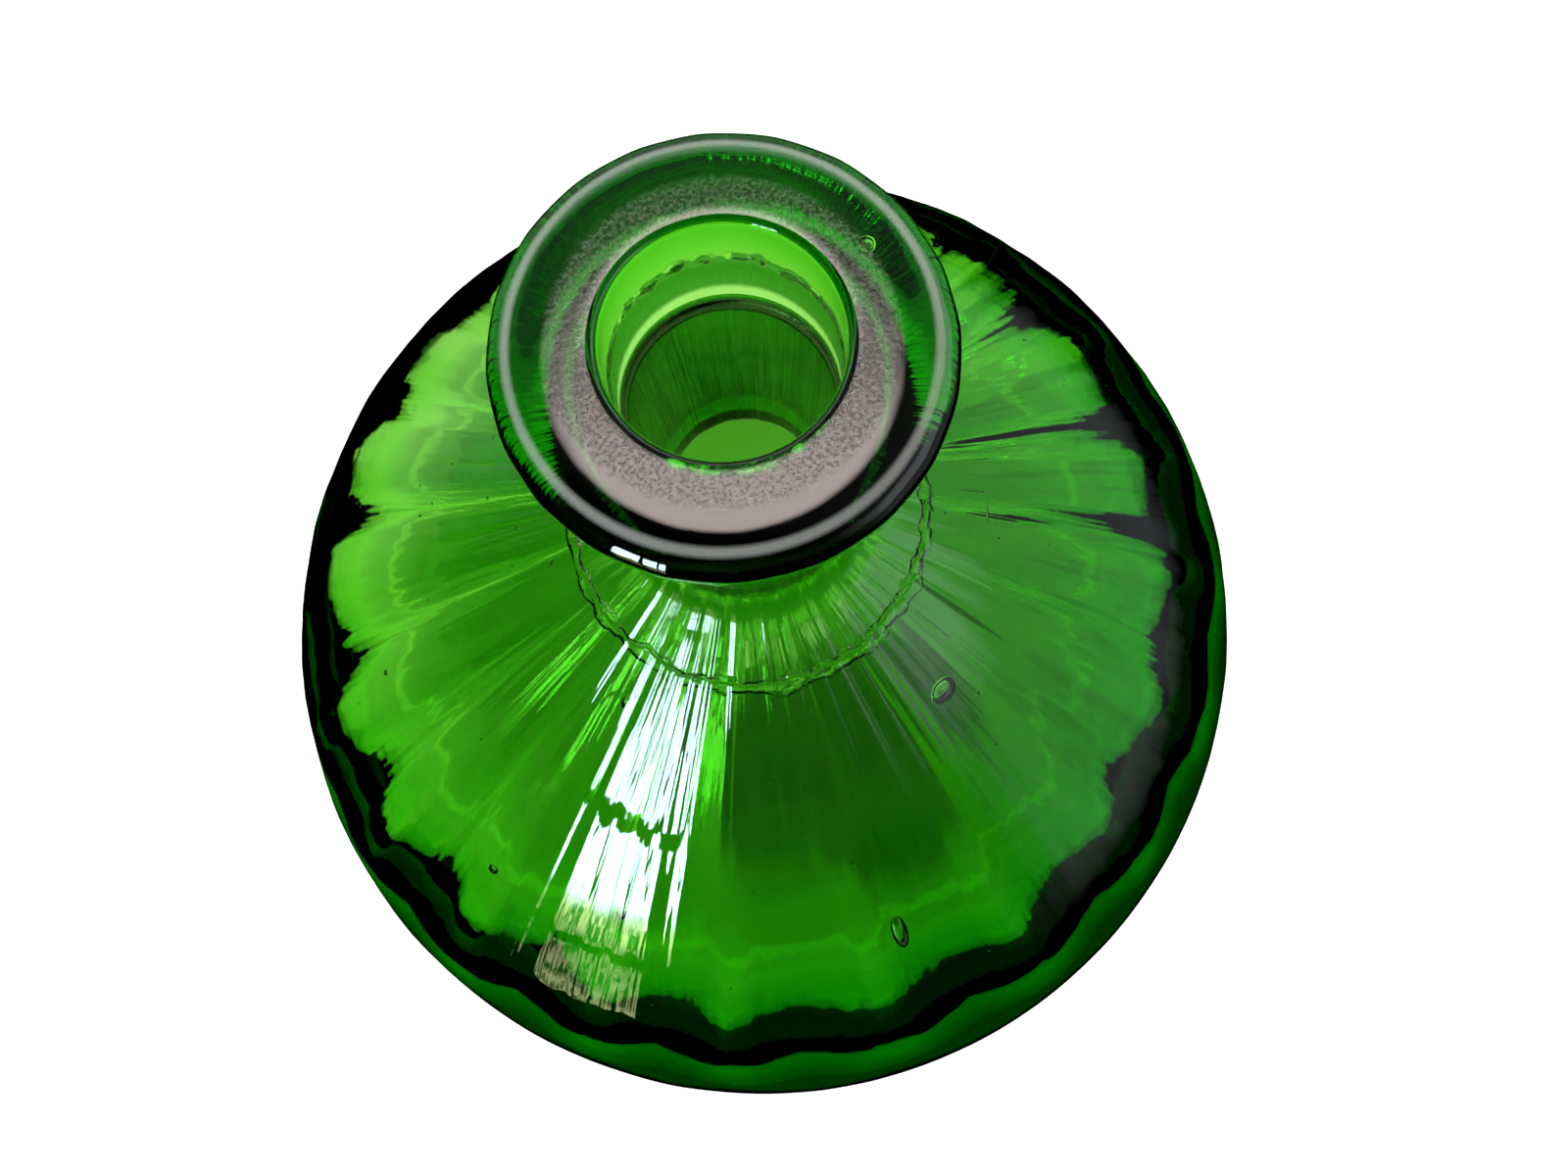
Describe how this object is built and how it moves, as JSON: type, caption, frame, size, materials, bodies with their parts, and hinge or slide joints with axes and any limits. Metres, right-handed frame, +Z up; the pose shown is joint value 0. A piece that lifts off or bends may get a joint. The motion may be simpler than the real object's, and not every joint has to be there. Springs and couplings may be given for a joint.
{
  "type": "ribbed glass flask",
  "caption": "Squat ribbed glass flask with a conical shoulder, short neck and broad applied lip, for holding a liquid under a cork or glass stopper.",
  "frame": {"origin": "centre of the resting plane, on the axis of the flask", "axes": "+Z up along the axis of body and neck; +X through the crest of a rib"},
  "size_m": [0.15, 0.15, 0.126],
  "materials": {
    "body_glass": "fire-polished transparent green glass with optic ribs, seeds and drawn streaks",
    "lip_glass": "thick green glass, fire polished round the edge, ground dull on the flat top"
  },
  "bodies": {
    "root": {"blown_body": "body_glass", "applied_lip": "lip_glass"}
  },
  "joints": []
}
